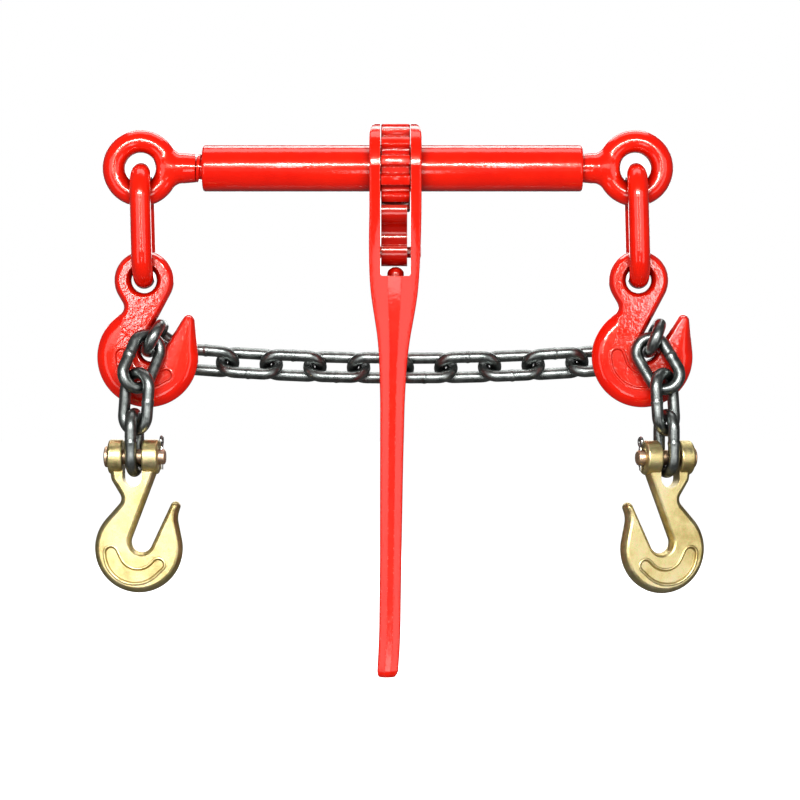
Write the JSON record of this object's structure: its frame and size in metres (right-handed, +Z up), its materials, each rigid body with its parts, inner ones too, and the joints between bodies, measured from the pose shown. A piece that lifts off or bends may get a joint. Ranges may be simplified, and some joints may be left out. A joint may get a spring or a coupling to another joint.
{
  "type": "ratchet load binder with chain",
  "caption": "Ratchet load binder with a long handle, screw barrel, eye links and grab hooks, holding a chain with a clevis grab hook at each end.",
  "frame": {"origin": "centre of the assembly's bounding box at rest", "axes": "+X along the barrel, to the right of someone facing the handle; +Y away from that person; +Z up, with the handle hanging down"},
  "size_m": [0.4043, 0.0776, 0.3696],
  "materials": {
    "red_paint": "glossy red paint over forged and cast steel",
    "chain_steel": "dark oiled steel wire, glossy on the legs",
    "gold_zinc": "yellow zinc plate, faintly iridescent, on forged steel",
    "bright_steel": "plain bright steel, lightly greased"
  },
  "bodies": {
    "washers": {"thrust_washer_left": "bright_steel", "thrust_washer_right": "bright_steel"},
    "barrel": {"barrel_tube": "red_paint", "ratchet_gear": "red_paint"},
    "handle": {"handle": "red_paint", "pawl_pin": "red_paint", "detent_spring": "bright_steel"},
    "pawl": {"pawl": "red_paint"},
    "plunger": {"detent_plunger": "red_paint"},
    "eye_left": {"eye_screw_left": "red_paint"},
    "eye_right": {"eye_screw_right": "red_paint"},
    "link_left": {"connecting_link_left": "red_paint"},
    "link_right": {"connecting_link_right": "red_paint"},
    "hook_left": {"grab_hook_left": "red_paint", "chain_left_4": "chain_steel"},
    "hook_right": {"grab_hook_right": "red_paint", "chain_right_4": "chain_steel"},
    "behind_left": {"chain_left_5": "chain_steel"},
    "behind_right": {"chain_right_5": "chain_steel"},
    "row_01": {"chain_row_01": "chain_steel"},
    "row_02": {"chain_row_02": "chain_steel"},
    "row_03": {"chain_row_03": "chain_steel"},
    "row_04": {"chain_row_04": "chain_steel"},
    "row_05": {"chain_row_05": "chain_steel"},
    "row_06": {"chain_row_06": "chain_steel"},
    "row_07": {"chain_row_07": "chain_steel"},
    "row_08": {"chain_row_08": "chain_steel"},
    "row_09": {"chain_row_09": "chain_steel"},
    "row_10": {"chain_row_10": "chain_steel"},
    "tail_left_3": {"chain_left_3": "chain_steel"},
    "tail_left_2": {"chain_left_2": "chain_steel"},
    "tail_left_1": {"chain_left_1": "chain_steel"},
    "clevis_left": {"clevis_hook_left": "gold_zinc"},
    "pin_left": {"clevis_pin_left": "gold_zinc", "cotter_pin_left": "bright_steel"},
    "tail_right_3": {"chain_right_3": "chain_steel"},
    "tail_right_2": {"chain_right_2": "chain_steel"},
    "tail_right_1": {"chain_right_1": "chain_steel"},
    "clevis_right": {"clevis_hook_right": "gold_zinc"},
    "pin_right": {"clevis_pin_right": "gold_zinc", "cotter_pin_right": "bright_steel"}
  },
  "joints": [
    {"name": "barrel_spin", "type": "hinge", "parent": "washers", "child": "barrel", "pos_m": [-0.0046, -0.0025, 0.1555], "axis": [1, 0, 0], "range_deg": [0, 1440]},
    {"name": "handle_swing", "type": "hinge", "parent": "washers", "child": "handle", "pos_m": [-0.0046, -0.0025, 0.1555], "axis": [-1, 0, 0], "range_deg": [0, 304.62]},
    {"name": "pawl_flip", "type": "hinge", "parent": "handle", "child": "pawl", "pos_m": [-0.0046, -0.0025, 0.0995], "axis": [1, 0, 0], "range_deg": [-9.5, 9.5]},
    {"name": "plunger_press", "type": "slide", "parent": "handle", "child": "plunger", "axis": [0, 0, -1], "range_m": [0, 0.0025], "stiffness_N_per_m": 1500, "springref_m": -0.004, "deforming": ["detent_spring"]},
    {"name": "eye_slide_left", "type": "slide", "parent": "washers", "child": "eye_left", "axis": [-1, 0, 0], "range_m": [0, 0.02541]},
    {"name": "eye_slide_right", "type": "slide", "parent": "washers", "child": "eye_right", "axis": [1, 0, 0], "range_m": [0, 0.02541]},
    {"name": "link_tilt_left", "type": "hinge", "parent": "eye_left", "child": "link_left", "pos_m": [-0.1726, -0.0025, 0.1524], "axis": [0, -1, 0], "range_deg": [0, 12.87]},
    {"name": "link_tilt_right", "type": "hinge", "parent": "eye_right", "child": "link_right", "pos_m": [0.1582, -0.0025, 0.1524], "axis": [0, 1, 0], "range_deg": [0, 12.62]},
    {"name": "hook_sway_left", "type": "hinge", "parent": "link_left", "child": "hook_left", "pos_m": [-0.1708, -0.0025, 0.0981], "axis": [-1, 0, 0], "range_deg": [-12, 0]},
    {"name": "hook_sway_right", "type": "hinge", "parent": "link_right", "child": "hook_right", "pos_m": [0.16, -0.0025, 0.0981], "axis": [-1, 0, 0], "range_deg": [-12, 0]},
    {"name": "chain_turn_left_5", "type": "hinge", "parent": "hook_left", "child": "behind_left", "pos_m": [-0.16101, 0.0127, 0.04208], "axis": [0, 1, 0], "range_deg": [0, 9.61], "stiffness_Nm_per_rad": 8, "springref_deg": -4.94},
    {"name": "chain_turn_row_01", "type": "hinge", "parent": "behind_left", "child": "row_01", "pos_m": [-0.1449, 0.02755, 0.03639], "axis": [0, 1, 0], "range_deg": [0, 4.18], "stiffness_Nm_per_rad": 8, "springref_deg": -4.48},
    {"name": "row_lift", "type": "hinge", "parent": "row_01", "child": "row_02", "pos_m": [-0.1208, 0.02755, 0.0264], "axis": [0, -1, 0], "range_deg": [0, 3.2], "stiffness_Nm_per_rad": 8, "springref_deg": 3.84},
    {"name": "row_lift_03", "type": "hinge", "parent": "row_02", "child": "row_03", "pos_m": [-0.09117, 0.02755, 0.02458], "axis": [0, -1, 0], "range_deg": [-0.801, 0], "stiffness_Nm_per_rad": 8, "springref_deg": 3.11},
    {"name": "row_lift_04", "type": "hinge", "parent": "row_03", "child": "row_04", "pos_m": [-0.06154, 0.02755, 0.02325], "axis": [0, -1, 0], "range_deg": [-0.801, 0], "stiffness_Nm_per_rad": 8, "springref_deg": 2.47},
    {"name": "row_lift_05", "type": "hinge", "parent": "row_04", "child": "row_05", "pos_m": [-0.0319, 0.02755, 0.02242], "axis": [0, -1, 0], "range_deg": [-0.801, 0], "stiffness_Nm_per_rad": 8, "springref_deg": 1.9},
    {"name": "row_lift_06", "type": "hinge", "parent": "row_05", "child": "row_06", "pos_m": [-0.00226, 0.02755, 0.02208], "axis": [0, -1, 0], "range_deg": [-0.801, 0], "stiffness_Nm_per_rad": 8, "springref_deg": 1.4},
    {"name": "row_lift_07", "type": "hinge", "parent": "row_06", "child": "row_07", "pos_m": [0.02739, 0.02754, 0.02224], "axis": [0, -1, 0], "range_deg": [-0.801, 0], "stiffness_Nm_per_rad": 8, "springref_deg": 0.98},
    {"name": "row_lift_08", "type": "hinge", "parent": "row_07", "child": "row_08", "pos_m": [0.05705, 0.02754, 0.02289], "axis": [0, -1, 0], "range_deg": [-0.801, 0], "stiffness_Nm_per_rad": 8, "springref_deg": 0.63},
    {"name": "row_lift_09", "type": "hinge", "parent": "row_08", "child": "row_09", "pos_m": [0.08671, 0.02754, 0.02403], "axis": [0, -1, 0], "range_deg": [-0.801, 0], "stiffness_Nm_per_rad": 8, "springref_deg": 0.36},
    {"name": "row_lift_10", "type": "hinge", "parent": "row_09", "child": "row_10", "pos_m": [0.11638, 0.02754, 0.02567], "axis": [0, -1, 0], "range_deg": [-0.801, 0], "stiffness_Nm_per_rad": 8, "springref_deg": 0.16},
    {"name": "row_lift_end", "type": "hinge", "parent": "row_10", "child": "behind_right", "pos_m": [0.15426, 0.02754, 0.02849], "axis": [0, -1, 0], "range_deg": [0, 3.2], "stiffness_Nm_per_rad": 8, "springref_deg": 0.02},
    {"name": "tail_turn_left_3", "type": "hinge", "parent": "hook_left", "child": "tail_left_3", "pos_m": [-0.166, -0.0129, 0.03789], "axis": [0, 1, 0], "range_deg": [0, 6.61]},
    {"name": "tail_turn_left_2", "type": "hinge", "parent": "tail_left_3", "child": "tail_left_2", "pos_m": [-0.16412, -0.0246, 0.00969], "axis": [0, 1, 0], "range_deg": [0, 6.27]},
    {"name": "tail_turn_left_1", "type": "hinge", "parent": "tail_left_2", "child": "tail_left_1", "pos_m": [-0.17532, -0.02333, -0.01673], "axis": [1, 0, 0], "range_deg": [-12, 0]},
    {"name": "clevis_swing_left", "type": "hinge", "parent": "tail_left_1", "child": "clevis_left", "pos_m": [-0.17532, -0.02514, -0.03715], "axis": [0.9976, -0.0698, 0], "range_deg": [-6, 6]},
    {"name": "pin_turn_left", "type": "hinge", "parent": "clevis_left", "child": "pin_left", "pos_m": [-0.17532, -0.02514, -0.03715], "axis": [0.9976, -0.0698, 0], "continuous": true},
    {"name": "tail_turn_right_3", "type": "hinge", "parent": "hook_right", "child": "tail_right_3", "pos_m": [0.16772, -0.0117, 0.03501], "axis": [0, -1, 0], "range_deg": [0, 6.61]},
    {"name": "tail_turn_right_2", "type": "hinge", "parent": "tail_right_3", "child": "tail_right_2", "pos_m": [0.16624, -0.02206, 0.00937], "axis": [0, -1, 0], "range_deg": [0, 6.01]},
    {"name": "tail_turn_right_1", "type": "hinge", "parent": "tail_right_2", "child": "tail_right_1", "pos_m": [0.17691, -0.01841, -0.01278], "axis": [1, 0, 0], "range_deg": [-12, 0]},
    {"name": "clevis_swing_right", "type": "hinge", "parent": "tail_right_1", "child": "clevis_right", "pos_m": [0.17691, -0.02276, -0.03781], "axis": [0.9613, 0.2756, 0], "range_deg": [-6, 6]},
    {"name": "pin_turn_right", "type": "hinge", "parent": "clevis_right", "child": "pin_right", "pos_m": [0.17691, -0.02276, -0.03781], "axis": [0.9613, 0.2756, 0], "continuous": true}
  ],
  "couplings": [
    {"joint": "eye_slide_left", "follows": "barrel_spin", "m_per_rad": 0.0010106},
    {"joint": "eye_slide_right", "follows": "barrel_spin", "m_per_rad": 0.0010106},
    {"joint": "link_tilt_left", "follows": "barrel_spin", "ratio": 0.0089299},
    {"joint": "link_tilt_right", "follows": "barrel_spin", "ratio": 0.0087533},
    {"joint": "hook_sway_right", "follows": "hook_sway_left", "ratio": 1},
    {"joint": "chain_turn_left_5", "follows": "barrel_spin", "ratio": 0.0066667},
    {"joint": "chain_turn_row_01", "follows": "barrel_spin", "ratio": 0.0028957},
    {"joint": "row_lift_03", "follows": "row_lift", "ratio": -0.25},
    {"joint": "row_lift_04", "follows": "row_lift", "ratio": -0.25},
    {"joint": "row_lift_05", "follows": "row_lift", "ratio": -0.25},
    {"joint": "row_lift_06", "follows": "row_lift", "ratio": -0.25},
    {"joint": "row_lift_07", "follows": "row_lift", "ratio": -0.25},
    {"joint": "row_lift_08", "follows": "row_lift", "ratio": -0.25},
    {"joint": "row_lift_09", "follows": "row_lift", "ratio": -0.25},
    {"joint": "row_lift_10", "follows": "row_lift", "ratio": -0.25},
    {"joint": "row_lift_end", "follows": "row_lift", "ratio": 1},
    {"joint": "tail_turn_left_3", "follows": "barrel_spin", "ratio": 0.0045833},
    {"joint": "tail_turn_left_2", "follows": "barrel_spin", "ratio": 0.0043466},
    {"joint": "tail_turn_left_1", "follows": "hook_sway_left", "ratio": 1},
    {"joint": "tail_turn_right_3", "follows": "barrel_spin", "ratio": 0.0045833},
    {"joint": "tail_turn_right_2", "follows": "barrel_spin", "ratio": 0.0041699},
    {"joint": "tail_turn_right_1", "follows": "hook_sway_left", "ratio": 1}
  ]
}
